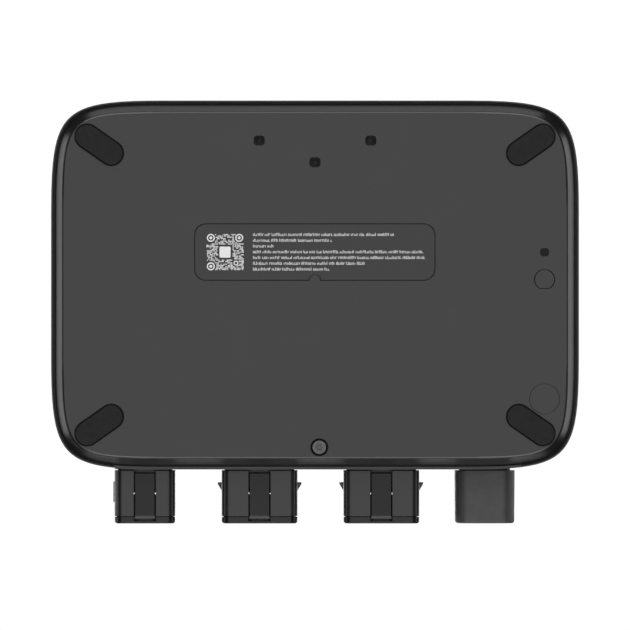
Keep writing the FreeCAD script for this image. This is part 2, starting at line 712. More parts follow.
def dress(body, kind, edges, size):
    """A Fillet or a Chamfer on the edges of the body's tip for which the test holds."""
    tip = body.Tip
    names = [f"Edge{i}" for i, edge in enumerate(tip.Shape.Edges, 1) if edges(edge)]
    if not names:
        raise ValueError(f"{body.Name}: no edge to {kind}")
    feature = body.newObject(f"PartDesign::{kind}", kind)
    feature.Base = (tip, names)
    bind(feature, "Radius" if kind == "Fillet" else "Size", size)
    doc.recompute()
    return feature


def flat_at(axis, level):
    """Tests whether an edge lies wholly in the plane where the axis has that value."""
    index = "XYZ".index(axis)

    def holds(edge):
        box = edge.BoundBox
        low = (box.XMin, box.YMin, box.ZMin)[index]
        high = (box.XMax, box.YMax, box.ZMax)[index]
        return abs(low - float(level)) < 1e-3 and abs(high - float(level)) < 1e-3

    return holds


def edge_between(axis, level, other_axis, other_level):
    """Tests whether an edge lies where two such planes meet."""
    first = flat_at(axis, level)
    second = flat_at(other_axis, other_level)

    def holds(edge):
        return first(edge) and second(edge)

    return holds


def round_at(axis, level, radius):
    """Tests whether an edge is a circle of that radius in the plane where the axis has that value."""
    flat = flat_at(axis, level)

    def holds(edge):
        return flat(edge) and hasattr(edge.Curve, "Radius") and abs(edge.Curve.Radius - float(radius)) < 1e-6

    return holds


def new_box(size, low, name="Box"):
    """A Part box from its size and its lowest corner."""
    box = doc.addObject("Part::Box", name)
    for path, number in zip(("Length", "Width", "Height"), size):
        bind(box, path, number)
    for axis, number in zip("xyz", low):
        bind(box, f"Placement.Base.{axis}", number)
    return box


def centred_box(size, centre, low_z, name="Box"):
    """A Part box about a point in X and Y, standing on a height."""
    x, y = centre
    return new_box(size, (x - size[0] / 2, y - size[1] / 2, low_z), name)


def new_cylinder(radius, height, base, name="Cylinder", along="Z"):
    cylinder = doc.addObject("Part::Cylinder", name)
    bind(cylinder, "Radius", radius)
    bind(cylinder, "Height", height)
    turns = {
        "Z": Rotation(),
        "X": Rotation(Vector(0, 1, 0), 90),
        "Y": Rotation(Vector(1, 0, 0), -90),
    }
    cylinder.Placement = Placement(Vector(*map(float, base)), turns[along])
    for axis, number in zip("xyz", base):
        bind(cylinder, f"Placement.Base.{axis}", number)
    return cylinder


def cut(base, tools, name="Cut"):
    """The base less one tool or several."""
    tool = tools[0] if len(tools) == 1 else fuse(tools)
    made = doc.addObject("Part::Cut", name)
    made.Base = base
    made.Tool = tool
    return made


def fuse(shapes, name="Fuse"):
    made = doc.addObject("Part::MultiFuse", name)
    made.Shapes = shapes
    return made


def together(shapes, name):
    """Separate solids that share a node."""
    made = doc.addObject("Part::Compound", name)
    made.Links = shapes
    return made


def at_point(x, y, z, axis=(0, 0, 1), angle=0.0):
    return Placement(Vector(float(x), float(y), float(z)), Rotation(Vector(*axis), angle))


def foot_points():
    """Each foot's name, centre and turn."""
    for corner, (sx, sy) in FOOT_CORNERS.items():
        yield corner, sx * foot_x, sy * foot_y, sx * sy * float(d.foot_angle)


# ------------------------------------------------------------------------------------ case sub-parts


def outline_sketch(body, inset, height):
    sketch = new_sketch(body, "XY_Plane", (0, 0, height))
    draw_outline(sketch, inset)
    return sketch


def ring_sketch(body, outer_inset, inner_inset, height):
    """The band between two insets of the case outline."""
    sketch = outline_sketch(body, outer_inset, height)
    draw_outline(sketch, inner_inset)
    return sketch


def box_sketch(body, role, at, width, height, radius, turn=0.0):
    sketch = new_sketch(body, role, at, turn)
    draw_box(sketch, width, height, radius)
    return sketch


def circle_sketch(body, role, at, radius):
    sketch = new_sketch(body, role, at)
    draw_circle(sketch, radius)
    return sketch


def circles_sketch(body, height, points, radius):
    """Equal circles in a level plane."""
    sketch = new_sketch(body, "XY_Plane", (0, 0, height))
    draw_circles(sketch, points, radius)
    return sketch


def wall_circles_sketch(body, y, points, radius):
    """Equal circles in an upright plane that faces the ports; each point is X and Z."""
    sketch = new_sketch(body, "XZ_Plane", (0, y, 0))
    draw_circles(sketch, points, radius)
    return sketch


def polygon_sketch(body, role, at, points):
    sketch = new_sketch(body, role, at)
    draw_polygon(sketch, points)
    return sketch


def bottom_cover():
    """A bevelled tray with foot recesses, screw wells, bracket holes and the label's recess."""
    body = new_body("BottomCover")
    flat = outline_sketch(body, d.bevel_inset, underside)
    loft(body, flat, outline_sketch(body, cover_inset, bevel_top))
    pad(body, outline_sketch(body, cover_inset, bevel_top), cover_top - bevel_top)
    dress(body, "Fillet", flat_at("Z", underside), d.cover_round)
    inside = outline_sketch(body, cover_inset + d.cover_rim, cover_inside)
    pocket(body, inside, cover_top - cover_inside, 1)
    relief = d.panel_lip + d.cover_gap
    front = [
        (panel_left, -FAR),
        (panel_right, -FAR),
        (panel_right, case_front + relief),
        (panel_left, case_front + relief),
    ]
    pocket(body, polygon_sketch(body, "XY_Plane", (0, 0, 0), front), joint, 1)
    cover_screws(body)
    bracket_bosses(body)
    column_holes(body)
    label_recess(body)
    pegs = [(column_x, front_peg), (column_x, rear_peg)]
    pad(body, circles_sketch(body, cover_inside, pegs, d.peg_radius * 2), d.interface_lift)
    pad(body, circles_sketch(body, interface_low, pegs, d.peg_radius), d.interface_thick + d.peg_above)
    return node(body, "bottom_cover")


def cover_screws(body):
    """Feet, with a hidden screw each, and the one screw in sight at the front."""
    well = underside + d.foot_recess
    feet = [(x, y) for _, x, y, _ in foot_points()]
    front = [(d.front_screw_x, front_screw_y)]
    pad(body, circles_sketch(body, cover_inside, feet, d.cover_boss_radius), joint - cover_inside)
    pad(body, circles_sketch(body, cover_inside, front, d.front_boss_radius), joint - cover_inside)
    for _, x, y, turn in foot_points():
        recess = new_sketch(body, "XY_Plane", (x, y, underside), turn)
        draw_slot(recess, d.foot_straight, d.foot_radius + d.foot_gap)
        pocket(body, recess, d.foot_recess, 1)
    hidden_sink = d.hidden_screw_sink + d.screw_head_height
    front_sink = d.front_screw_sink + d.screw_head_height
    pocket(body, circles_sketch(body, well, feet, d.screw_well_radius), hidden_sink, 1)
    pocket(body, circles_sketch(body, underside, front, d.screw_well_radius), front_sink, 1)
    holes = circles_sketch(body, underside, feet + front, d.screw_hole_radius)
    pocket(body, holes, joint - underside, 1)


def bracket_points():
    """The three bracket holes' centres, in X and Y."""
    side = d.bracket_spacing / 2
    return [(side, bracket_y), (-side, bracket_y), (Size(0.0, "0"), bracket_middle_y)]


def bracket_bosses(body):
    """Blind bosses that hold the bracket inserts behind rounded windows."""
    floor = underside + d.window_depth
    height = d.window_depth + d.insert_length + d.insert_cap - d.cover_floor
    pad(body, circles_sketch(body, cover_inside, bracket_points(), d.insert_boss_radius), height)
    pocket(body, circles_sketch(body, floor, bracket_points(), d.insert_radius), d.insert_length, 1)
    for x, y in bracket_points():
        window = (x, y, underside)
        sketch = box_sketch(body, "XY_Plane", window, d.window_width, d.window_height, d.window_round)
        pocket(body, sketch, d.window_depth, 1)


def draw_chord(sketch, radius, chord):
    """A circle whose -Y side is cut off flat at the chord's distance."""
    r, c = float(radius), float(chord)
    half = math.sqrt(r * r - c * c)
    start = math.atan2(-c, half)
    circle = Part.Circle(Vector(0, 0, 0), Vector(0, 0, 1), r)
    sketch.addGeometry(Part.ArcOfCircle(circle, start, math.pi - start))
    sketch.addGeometry(Part.LineSegment(Vector(-half, -c, 0), Vector(half, -c, 0)))
    constrain(sketch, "Coincident", 0, 3, -1, 1)
    constrain(sketch, "Coincident", 0, 2, 1, 1)
    constrain(sketch, "Coincident", 1, 2, 0, 1)
    constrain(sketch, "Horizontal", 1)
    dimension(sketch, "Radius", 0, radius)
    dimension(sketch, "DistanceY", 1, 1, -1, 1, chord)


def chord_sketch(body, at, radius, chord):
    sketch = new_sketch(body, "XY_Plane", at)
    draw_chord(sketch, radius, chord)
    return sketch


def column_holes(body):
    """The holes for the pairing button, the indicator and the access plug."""
    hole = (column_x, d.button_y, underside)
    pocket(body, chord_sketch(body, hole, d.button_hole, d.button_chord), d.cover_floor, 1)
    pocket(body, circle_sketch(body, "XY_Plane", hole, d.button_hole), d.button_sliver, 1)
    lens = (column_x, d.lens_y, underside)
    window = box_sketch(body, "XY_Plane", lens, d.lens_width, d.lens_height, d.lens_round)
    pocket(body, window, d.cover_floor, 1)
    plug = (column_x, plug_y, underside)
    pocket(body, circle_sketch(body, "XY_Plane", plug, d.plug_radius + d.plug_gap), d.plug_thick, 1)
    pocket(body, circle_sketch(body, "XY_Plane", plug, d.plug_radius - d.plug_ledge), d.cover_floor, 1)


def label_recess(body):
    gap = d.label_gap
    at = (d.label_x, d.label_y, underside)
    width = d.label_width + gap * 2
    height = d.label_height + gap * 2
    pocket(body, box_sketch(body, "XY_Plane", at, width, height, d.label_round + gap), d.label_recess, 1)
    island = (d.label_x, d.label_y - d.label_height / 2 - gap, underside)
    pad(body, circle_sketch(body, "XY_Plane", island, d.label_notch - gap), d.label_recess)


def label_plate():
    body = new_body("LabelPlate")
    low = underside + d.label_recess - d.label_thick
    at = (d.label_x, d.label_y, low)
    plate = box_sketch(body, "XY_Plane", at, d.label_width, d.label_height, d.label_round)
    pad(body, plate, d.label_thick)
    edge = (d.label_x, d.label_y - d.label_height / 2, low)
    pocket(body, circle_sketch(body, "XY_Plane", edge, d.label_notch), d.label_thick, 1)
    return node(body, "label_plate")


def case_shell():
    """The upper shell: walls, top skin open over the fins, a lip round the base and the screw posts."""
    body = new_body("CaseShell")
    pad(body, outline_sketch(body, 0, joint), shell_top - joint)
    dress(body, "Fillet", flat_at("Z", shell_top), d.shell_round)
    pocket(body, outline_sketch(body, d.shell_wall, joint), skin_inside - joint, 1)
    pad(body, ring_sketch(body, 0, d.lip_wall, bevel_top), joint - bevel_top)
    size = (field_width, field_depth, d.fin_field_round)
    pocket(body, box_sketch(body, "XY_Plane", (0, 0, skin_inside), *size), d.shell_skin, 1)
    clear = d.small_core + d.screw_clear
    pocket(body, circles_sketch(body, skin_inside, top_screw_points(), clear), d.shell_skin, 1)
    dress(body, "Chamfer", round_at("Z", shell_top, clear), d.top_screw_radius - clear + d.fit_gap * 2)
    corner_posts(body)
    front = [(d.front_screw_x, front_screw_y)]
    pad(body, circles_sketch(body, joint, front, d.post_radius), skin_inside - joint)
    posts = [(x, y) for _, x, y, _ in foot_points()]
    pocket(body, circles_sketch(body, joint, posts + front, d.post_bore), d.screw_shank, 1)
    panel_window(body)
    return node(body, "case_shell")


def corner_posts(body):
    """A screw post behind each foot, tied to the corner's wall by a rib."""
    length = d.corner_rib_length
    posts = [(x, y) for _, x, y, _ in foot_points()]
    pad(body, circles_sketch(body, joint, posts, d.post_radius), d.corner_post_height)
    for _, x, y, turn in foot_points():
        rib = new_sketch(body, "XY_Plane", (x, y, joint), turn)
        start = 0 if float(x) > 0 else -length
        low = -d.corner_rib / 2
        draw_polygon(rib, [(start, low), (start + length, low), (start + length, -low), (start, -low)])
        pad(body, rib, d.corner_post_height)


def panel_window(body):
    """The opening in the front wall and its lip that takes the port panel."""
    gap = d.panel_gap
    right = panel_right + d.panel_margin + gap
    left = panel_left - d.panel_margin - gap
    depth = case_front + d.shell_wall + d.window_behind
    wall = [(left, -FAR), (right, -FAR), (right, depth), (left, depth)]
    pocket(body, polygon_sketch(body, "XY_Plane", (0, 0, joint), wall), panel_top + gap - joint, 1)
    right = panel_right + gap
    left = panel_left - gap
    lip = [(left, -FAR), (right, -FAR), (right, depth), (left, depth)]
    pocket(body, polygon_sketch(body, "XY_Plane", (0, 0, bevel_top), lip), joint - bevel_top, 1)


def top_screw_points():
    """The eight screws round the fin opening, in X and Y."""
    reach = d.sink_wall + d.sink_flange / 2 + d.fit_gap
    side = field_width / 2 + reach
    end = field_depth / 2 + reach
    across = field_width * d.top_screw_spread
    along = field_depth * d.top_screw_spread - d.top_screw_nearer
    points = [(sx * across, sy * end) for sx in (-1, 1) for sy in (-1, 1)]
    points += [(sx * side, sy * along) for sx in (-1, 1) for sy in (-1, 1)]
    return points


def heat_sink():
    """A finned pan under the shell's opening, with pedestals and posts down to the main board."""
    body = new_body("HeatSink")
    wall = d.sink_wall
    rim = wall + d.sink_flange
    flange_low = sink_top - d.sink_flange_thick
    size = (field_width + rim * 2, field_depth + rim * 2, d.fin_field_round + rim)
    pad(body, box_sketch(body, "XY_Plane", (0, 0, flange_low), *size), d.sink_flange_thick)
    size = (field_width + wall * 2, field_depth + wall * 2, d.fin_field_round + wall)
    pad(body, box_sketch(body, "XY_Plane", (0, 0, sink_low), *size), sink_top - sink_low)
    size = (field_width, field_depth, d.fin_field_round)
    pocket(body, box_sketch(body, "XY_Plane", (0, 0, pan_floor), *size), sink_top - pan_floor, 1)
    bore = d.small_core + d.fit_gap
    pocket(body, circles_sketch(body, flange_low, top_screw_points(), bore), d.sink_flange_thick, 1)
    for side in (-1, 1):
        pedestal = (0, side * transistor_row, pedestal_low)
        size = (board_width * d.transistor_row_share, d.transistor_depth, d.fin_tip)
        pad(body, box_sketch(body, "XY_Plane", pedestal, *size), sink_low - pedestal_low)
    pad(body, circles_sketch(body, board_top, stand_points(), d.stand_radius), sink_low - board_top)
    pocket(body, circles_sketch(body, board_top, stand_points(), bore), d.small_shank, 1)
    fins(body)
    return node(body, "heat_sink")


def stand_points():
    """The main board's five screws, in X and Y."""
    rear = board_depth / 2 - d.stand_rear
    front = d.stand_front - board_depth / 2
    middle = d.stand_middle - board_depth / 2
    zero = Size(0.0, "0")
    return [(stand_x, rear), (-stand_x, rear), (stand_x, front), (-stand_x, front), (zero, middle)]


def fins(body):
    count = int((field_depth - d.fin_end_gap * 2) / d.fin_pitch) + 1
    first = -d.fin_pitch * (count - 1) / 2
    length = field_width - d.fin_end_gap * 2
    root = d.fin_root / 2
    tip = d.fin_tip / 2
    height = d.fin_height
    blunt = d.fin_tip / 3
    half = [(root, 0), (tip, height - blunt), (tip - blunt / 2, height)]
    profile = [(x, y) for x, y in half] + [(-x, y) for x, y in reversed(half)]
    sketch = polygon_sketch(body, "YZ_Plane", (-length / 2, first, pan_floor), profile)
    fin = pad(body, sketch, length)
    repeat(body, [fin], "Y_Axis", d.fin_pitch, count)


def cover_gasket():
    body = new_body("CoverGasket")
    start = cover_inset + d.fit_gap
    pad(body, ring_sketch(body, start, start + d.gasket_width, cover_top), d.gasket_thick)
    relief = d.panel_lip + d.cover_gap
    front = [
        (panel_left - d.gasket_end_gap, -FAR),
        (panel_right + d.gasket_end_gap, -FAR),
        (panel_right + d.gasket_end_gap, case_front + relief),
        (panel_left - d.gasket_end_gap, case_front + relief),
    ]
    pocket(body, polygon_sketch(body, "XY_Plane", (0, 0, cover_top), front), d.gasket_thick, 1)
    return node(body, "cover_gasket")


def heat_sink_gasket():
    body = new_body("HeatSinkGasket")
    inner = d.sink_seal_in
    outer = d.sink_wall + d.sink_seal_out
    size = (field_width + outer * 2, field_depth + outer * 2, d.fin_field_round + outer)
    pad(body, box_sketch(body, "XY_Plane", (0, 0, sink_top), *size), d.sink_seal)
    size = (field_width + inner * 2, field_depth + inner * 2, d.fin_field_round + inner)
    pocket(body, box_sketch(body, "XY_Plane", (0, 0, sink_top), *size), d.sink_seal, 1)
    return node(body, "heat_sink_gasket")


def port_panel():
    """The plastic panel in the front wall that carries the four ports."""
    body = new_body("PortPanel")
    pad(body, ring_sketch(body, 0, d.panel_lip, bevel_top), joint - bevel_top)
    pad(body, outline_sketch(body, 0, joint), panel_top - joint)
    trim_panel(body, bevel_top, joint - bevel_top, 0)
    trim_panel(body, joint, panel_top - joint, d.panel_margin)
    tab = (0, (case_front + d.shell_wall + panel_back) / 2, panel_top)
    size = (d.panel_tab_width, d.panel_thick - d.shell_wall, d.panel_gap)
    pad(body, box_sketch(body, "XY_Plane", tab, *size), skin_inside - d.panel_tab_below - panel_top)
    for x, width, _ in PORTS.values():
        panel_hole(body, x, width, d.port_height)
    panel_hole(body, signal_x, d.signal_width, d.signal_height)
    bore = d.small_core + d.fit_gap
    pocket(body, wall_circles_sketch(body, panel_back, flange_screw_points(), bore), d.flange_bore, 1)
    return node(body, "port_panel")


def trim_panel(body, low, height, margin):
    """Cuts away all of a slab but the panel's stretch of the front wall."""
    left = panel_left - margin
    right = panel_right + margin
    rest = [
        (right, -FAR),
        (FAR, -FAR),
        (FAR, FAR),
        (-FAR, FAR),
        (-FAR, -FAR),
        (left, -FAR),
        (left, panel_back),
        (right, panel_back),
    ]
    pocket(body, polygon_sketch(body, "XY_Plane", (0, 0, low), rest), height, 1)


def panel_hole(body, x, width, height):
    gap = d.port_clearance * 2
    at = (x, panel_back, port_axis)
    sketch = box_sketch(body, "XZ_Plane", at, width + gap, height + gap, d.port_round + d.port_clearance)
    pocket(body, sketch, d.panel_thick * 2, 1)


def flange_screw_points():
    """The flange screws' centres, in X and Z: two above and two below each port."""
    points = []
    ports = [(x, width, d.port_height) for x, width, _ in PORTS.values()]
    for x, width, height in ports + [(signal_x, d.signal_width, d.signal_height)]:
        side = width / 2 - d.flange_screw_in
        rise = height / 2 + d.port_flange_over / 2
        points += [(x + sx * side, port_axis + sz * rise) for sx in (-1, 1) for sz in (-1, 1)]
    return points


# ------------------------------------------------------------------------------------ port sub-parts


def flange(body, x, width, height):
    """The flange behind the panel, with its four screw holes still to cut."""
    at = (x, flange_back, port_axis)
    size = (width + d.port_flange_side * 2, height + d.port_flange_over * 2, d.port_wall)
    pad(body, box_sketch(body, "XZ_Plane", at, *size), d.port_flange_thick)


def flange_holes(body, x, width, back, thick):
    """Cuts the screw holes of the flange, or of the gasket, about one port."""
    points = [(at, z) for at, z in flange_screw_points() if abs(float(at - x)) < float(width) / 2]
    pocket(body, wall_circles_sketch(body, back, points, d.small_core + d.screw_clear), thick, 1)


def stem(body, x, width, end):
    """Pads a housing outward from its flange, with a narrower neck where it leaves the panel."""
    full = (width, d.port_height, d.port_round)
    narrow = [side - d.neck_inset * 2 for side in full[:2]] + [d.port_round - d.neck_inset]
    neck_end = case_front - d.neck_length
    lengths = ((flange_back, case_front, full), (case_front, neck_end, narrow), (neck_end, end, full))
    for start, stop, size in lengths:
        pad(body, box_sketch(body, "XZ_Plane", (x, start, port_axis), *size), start - stop)


def socket_sketch(body, x, width, y):
    """The socket's section at a depth: above the thick sole and inside the other walls."""
    radius = d.port_round - d.port_wall
    return box_sketch(body, "XZ_Plane", (x, y, socket_axis), width - d.port_wall * 2, socket_height, radius)


def pin_offsets(pitch):
    return (-pitch / 2, pitch / 2)


def power_housing(name):
    """A two-pin socket with a thick sole, which holds the latch lever in a channel."""
    x, width, pitch = PORTS[name]
    body = new_body("PowerHousing")
    flange(body, x, width, d.port_height)
    stem(body, x, width, spigot_start)
    inset = d.spigot_inset
    size = (width - inset * 2, d.port_height - inset * 2, d.port_round - inset)
    at = (x, spigot_start, port_axis)
    pad(body, box_sketch(body, "XZ_Plane", at, *size), spigot_start - spigot_end)
    pocket(body, socket_sketch(body, x, width, socket_floor), socket_floor - mouth, 1)
    pins = [(x + offset, socket_axis) for offset in pin_offsets(pitch)]
    shrouds = wall_circles_sketch(body, socket_floor, pins, d.tube_radius)
    pad(body, shrouds, socket_floor - mouth - d.tube_back)
    inside = wall_circles_sketch(body, socket_floor, pins, d.tube_radius - d.tube_wall)
    pocket(body, inside, socket_floor - mouth, 1)
    bores = wall_circles_sketch(body, flange_back, pins, d.pin_radius + d.fit_gap)
    pocket(body, bores, flange_back - mouth, 1)
    rear = insulator_sketch(body, x, width, flange_back, d.fit_gap)
    pocket(body, rear, d.insulator_thick, 1)
    latch_room(body, x)
    flange_holes(body, x, width, flange_back, d.port_flange_thick)
    if name == "input_port":
        side_key(body, x, width)
    else:
        side_barbs(body, x, width)
    return node(body, f"{name}_housing")


def insulator_sketch(body, x, width, y, gap):
    """The insulator block's section, grown by a gap."""
    size = (width - d.insulator_in * 2 + gap * 2, socket_height - d.port_wall + gap * 2, d.port_wall)
    return box_sketch(body, "XZ_Plane", (x, y, socket_axis), *size)


def latch_room(body, x):
    """The lever's channel, the pocket under its rear, the pivot's bore and the spring's hole."""
    width = d.latch_width + d.latch_side_gap * 2
    channel = [
        (-width / 2, case_front - d.latch_channel_end),
        (width / 2, case_front - d.latch_channel_end),
        (width / 2, channel_rear),
        (-width / 2, channel_rear),
    ]
    pocket(body, polygon_sketch(body, "XY_Plane", (x, 0, port_bottom), channel), d.latch_channel, 1)
    deeper = [
        (-width / 2, case_front - d.latch_pocket_end),
        (width / 2, case_front - d.latch_pocket_end),
        (width / 2, channel_rear),
        (-width / 2, channel_rear),
    ]
    pocket(body, polygon_sketch(body, "XY_Plane", (x, 0, port_bottom), deeper), d.latch_pocket, 1)
    reach = d.latch_width + d.pivot_reach * 2
    at = (x - reach / 2, pivot_y, pivot_z)
    pivot = circle_sketch(body, "YZ_Plane", at, d.pivot_radius + d.pivot_fit)
    pocket(body, pivot, reach, 1)
    spring = circle_sketch(body, "XY_Plane", (x, case_front - d.spring_back, port_bottom), d.spring_hole)
    pocket(body, spring, d.spring_seat, 1)


def side_barbs(body, x, width):
    """A barb on each side that a plug's clip snaps behind."""
    back = case_front - d.barb_back
    front = back - d.barb_land - d.barb_ramp
    low = port_axis - d.barb_height / 2
    for side in (-1, 1):
        root = side * (width / 2 - d.port_wall / 2)
        top = side * (width / 2 + d.barb_out)
        face = side * width / 2
        points = [(root, back), (top, back), (top, back - d.barb_land), (face, front), (root, front)]
        pad(body, polygon_sketch(body, "XY_Plane", (x, 0, low), points), d.barb_height)


def side_key(body, x, width):
    """A rib on the +X side that keeps other plugs out."""
    back = case_front - d.key_back
    root = width / 2 - d.port_wall / 2
    top = width / 2 + d.key_out
    points = [(root, back - d.key_length), (top, back - d.key_length), (top, back), (root, back)]
    low = port_axis - d.barb_height / 2
    pad(body, polygon_sketch(body, "XY_Plane", (x, 0, low), points), d.barb_height)


def mouth_ring(name):
    """The sealing ring pushed over a housing's spigot."""
    x, width, _ = PORTS[name]
    body = new_body("MouthRing")
    size = (width, d.port_height, d.port_round)
    pad(body, box_sketch(body, "XZ_Plane", (x, ring_back, port_axis), *size), d.mouth_ring)
    dress(body, "Chamfer", flat_at("Y", mouth), d.ring_chamfer)
    inset = d.spigot_inset - d.fit_gap
    size = (width - inset * 2, d.port_height - inset * 2, d.port_round - inset)
    depth = d.mouth_ring - d.spigot_short + d.fit_gap
    pocket(body, box_sketch(body, "XZ_Plane", (x, ring_back, port_axis), *size), depth, 1)
    pocket(body, socket_sketch(body, x, width, ring_back), d.mouth_ring, 1)
    half = d.latch_width / 2 + d.latch_side_gap
    end = case_front - d.latch_channel_end
    notch = [(-half, end), (half, end), (half, ring_back), (-half, ring_back)]
    pocket(body, polygon_sketch(body, "XY_Plane", (x, 0, port_bottom), notch), d.latch_channel, 1)
    return node(body, f"{name}_mouth_ring")


def insulator(name):
    x, width, pitch = PORTS[name]
    body = new_body("Insulator")
    pad(body, insulator_sketch(body, x, width, flange_back, 0), d.insulator_thick)
    pins = [(x + offset, socket_axis) for offset in pin_offsets(pitch)]
    bores = wall_circles_sketch(body, flange_back, pins, d.pin_radius + d.fit_gap)
    pocket(body, bores, d.insulator_thick, 1)
    return node(body, f"{name}_insulator")


def power_pin():
    """One turned pin: tip, shaft, collar and stud, drawn along its own Z from the collar's front."""
    body = new_body("PowerPin")
    reach = flange_back - mouth - d.pin_back
    tip = d.pin_tip_round
    stud_top = -(d.pin_collar_thick + d.pin_stud_length)
    profile = [
        (0, stud_top),
        (d.pin_stud, stud_top),
        (d.pin_stud, -d.pin_collar_thick),
        (d.pin_collar, -d.pin_collar_thick),
        (d.pin_collar, 0),
        (d.pin_radius, 0),
        (d.pin_radius, reach - tip),
        (d.pin_radius - tip, reach),
        (0, reach),
    ]
    revolve(body, polygon_sketch(body, "XZ_Plane", (0, 0, 0), profile))
    return body


def terminal_nut():
    """A hexagon nut about its own Z."""
    body = new_body("TerminalNut")
    radius = d.nut_flat / math.sqrt(3)
    turns = [math.radians(60 * i) for i in range(6)]
    points = [(radius * math.cos(turn), radius * math.sin(turn)) for turn in turns]
    pad(body, polygon_sketch(body, "XY_Plane", (0, 0, 0), points), d.nut_thick)
    pocket(body, circle_sketch(body, "XY_Plane", (0, 0, 0), d.pin_stud + d.fit_gap), d.nut_thick, 1)
    return body


def power_contacts(name, pin, nut):
    """Two pins with the nuts that hold the busbars."""
    x, _, pitch = PORTS[name]
    nut_y = flange_back + d.pin_collar_thick + d.busbar_thick
    forward = (1, 0, 0)
    shapes = []
    for offset in pin_offsets(pitch):
        shapes.append((pin, at_point(x + offset, flange_back, socket_axis, forward, 90)))
        shapes.append((nut, at_point(x + offset, nut_y, socket_axis, forward, -90)))
    return node(gather(shapes, "PowerContacts"), f"{name}_contacts")


def latch_lever(name):
    """A rocking lever: press its rear end and its hooked front end swings out."""
    x, _, _ = PORTS[name]
    body = new_body("LatchLever")
    top = latch_low + d.latch_thick
    ramp = d.latch_ramp
    hook = d.latch_hook
    profile = [
        (latch_rear, latch_low + hook),
        (latch_rear, top),
        (latch_front + ramp * 2, top),
        (latch_front + ramp, top + hook),
        (latch_front, top + hook),
        (latch_front, latch_low + d.latch_bevel),
        (latch_front + ramp, latch_low),
        (latch_rear - hook, latch_low),
    ]
    low_x = x - d.latch_width / 2
    pad(body, polygon_sketch(body, "YZ_Plane", (low_x, 0, 0), profile), d.latch_width)
    for side in (low_x, low_x + d.latch_width):
        dress(body, "Chamfer", edge_between("Z", latch_low, "X", side), d.latch_edge)
    pad(body, circle_sketch(body, "YZ_Plane", (low_x, pivot_y, pivot_z), d.latch_eye), d.latch_width)
    bore = circle_sketch(body, "YZ_Plane", (low_x, pivot_y, pivot_z), d.pivot_radius + d.pivot_play)
    pocket(body, bore, d.latch_width, 1)
    return node(body, f"{name}_latch")


def latch_spring(name):
    """A coil between the lever's rear end and its seat in the housing."""
    x, _, _ = PORTS[name]
    wire = float(d.spring_wire)
    play = float(d.spring_play)
    low = float(latch_low + d.latch_thick) + wire + play
    high = float(port_bottom + d.spring_seat) - wire - play
    radius = float(d.spring_radius)
    helix = Part.makeLongHelix((high - low) / float(d.spring_turns), high - low, radius)
    section = Part.Wire(Part.makeCircle(wire, Vector(radius, 0, 0), Vector(0, 1, 0)))
    spring = doc.addObject("Part::Feature", "LatchSpring")
    spring.Shape = Part.Wire(helix).makePipeShell([section], True, True)
    spring.Placement = at_point(x, case_front - d.spring_back, low)
    made = together([spring], "LatchSpringNode")
    return node(made, f"{name}_latch_spring")


def latch_pins():
    """The three pivot pins."""
    reach = d.latch_width + d.pivot_reach * 2
    pins = []
    for x, _, _ in PORTS.values():
        at = (x - reach / 2, pivot_y, pivot_z)
        pins.append(new_cylinder(d.pivot_radius, reach, at, "PivotPin", "X"))
    return node(together(pins, "LatchPins"), "latch_pins")


def signal_housing():
    """The small socket for the control cable."""
    body = new_body("SignalHousing")
    flange(body, signal_x, d.signal_width, d.signal_height)
    at = (signal_x, flange_back, port_axis)
    size = (d.signal_width, d.signal_height, d.port_round)
    pad(body, box_sketch(body, "XZ_Plane", at, *size), flange_back - signal_mouth)
    wall = d.port_wall
    size = (d.signal_width - wall * 2, d.signal_height - wall * 2, d.port_round - wall)
    at = (signal_x, socket_floor, port_axis)
    pocket(body, box_sketch(body, "XZ_Plane", at, *size), socket_floor - signal_mouth, 1)
    rear = signal_insulator_sketch(body, d.fit_gap)
    pocket(body, rear, flange_back - socket_floor, 1)
    flange_holes(body, signal_x, d.signal_width, flange_back, d.port_flange_thick)
    return node(body, "signal_port_housing")


def signal_insulator_sketch(body, gap):
    inset = d.port_wall * 2
    size = (d.signal_width - inset * 2 + gap * 2, d.signal_height - inset * 2 + gap * 2, d.port_wall / 2)
    return box_sketch(body, "XZ_Plane", (signal_x, flange_back, port_axis), *size)


def signal_pin_places():
    """The signal pins' centres, in X and Z."""
    pitch = d.signal_pin_pitch
    columns = [signal_x + i * pitch for i in (-2, -1, 0, 1, 2)]
    return [(x, port_axis + row * pitch / 2) for x in columns for row in (-1, 1)]


def signal_insulator():
    body = new_body("SignalInsulator")
    pad(body, signal_insulator_sketch(body, 0), flange_back - socket_floor)
    side = d.signal_pin_side + d.fit_gap * 2
    for x, z in signal_pin_places():
        hole = box_sketch(body, "XZ_Plane", (x, flange_back, z), side, side, d.fit_gap)
        pocket(body, hole, flange_back - socket_floor, 1)
    return node(body, "signal_port_insulator")


def signal_contacts():
    side = d.signal_pin_side
    front = signal_mouth + d.pin_back
    length = flange_back + d.pin_stud_length - front
    pins = []
    for x, z in signal_pin_places():
        pins.append(new_box((side, length, side), (x - side / 2, front, z - side / 2), "SignalPin"))
    return node(together(pins, "SignalContacts"), "signal_port_contacts")


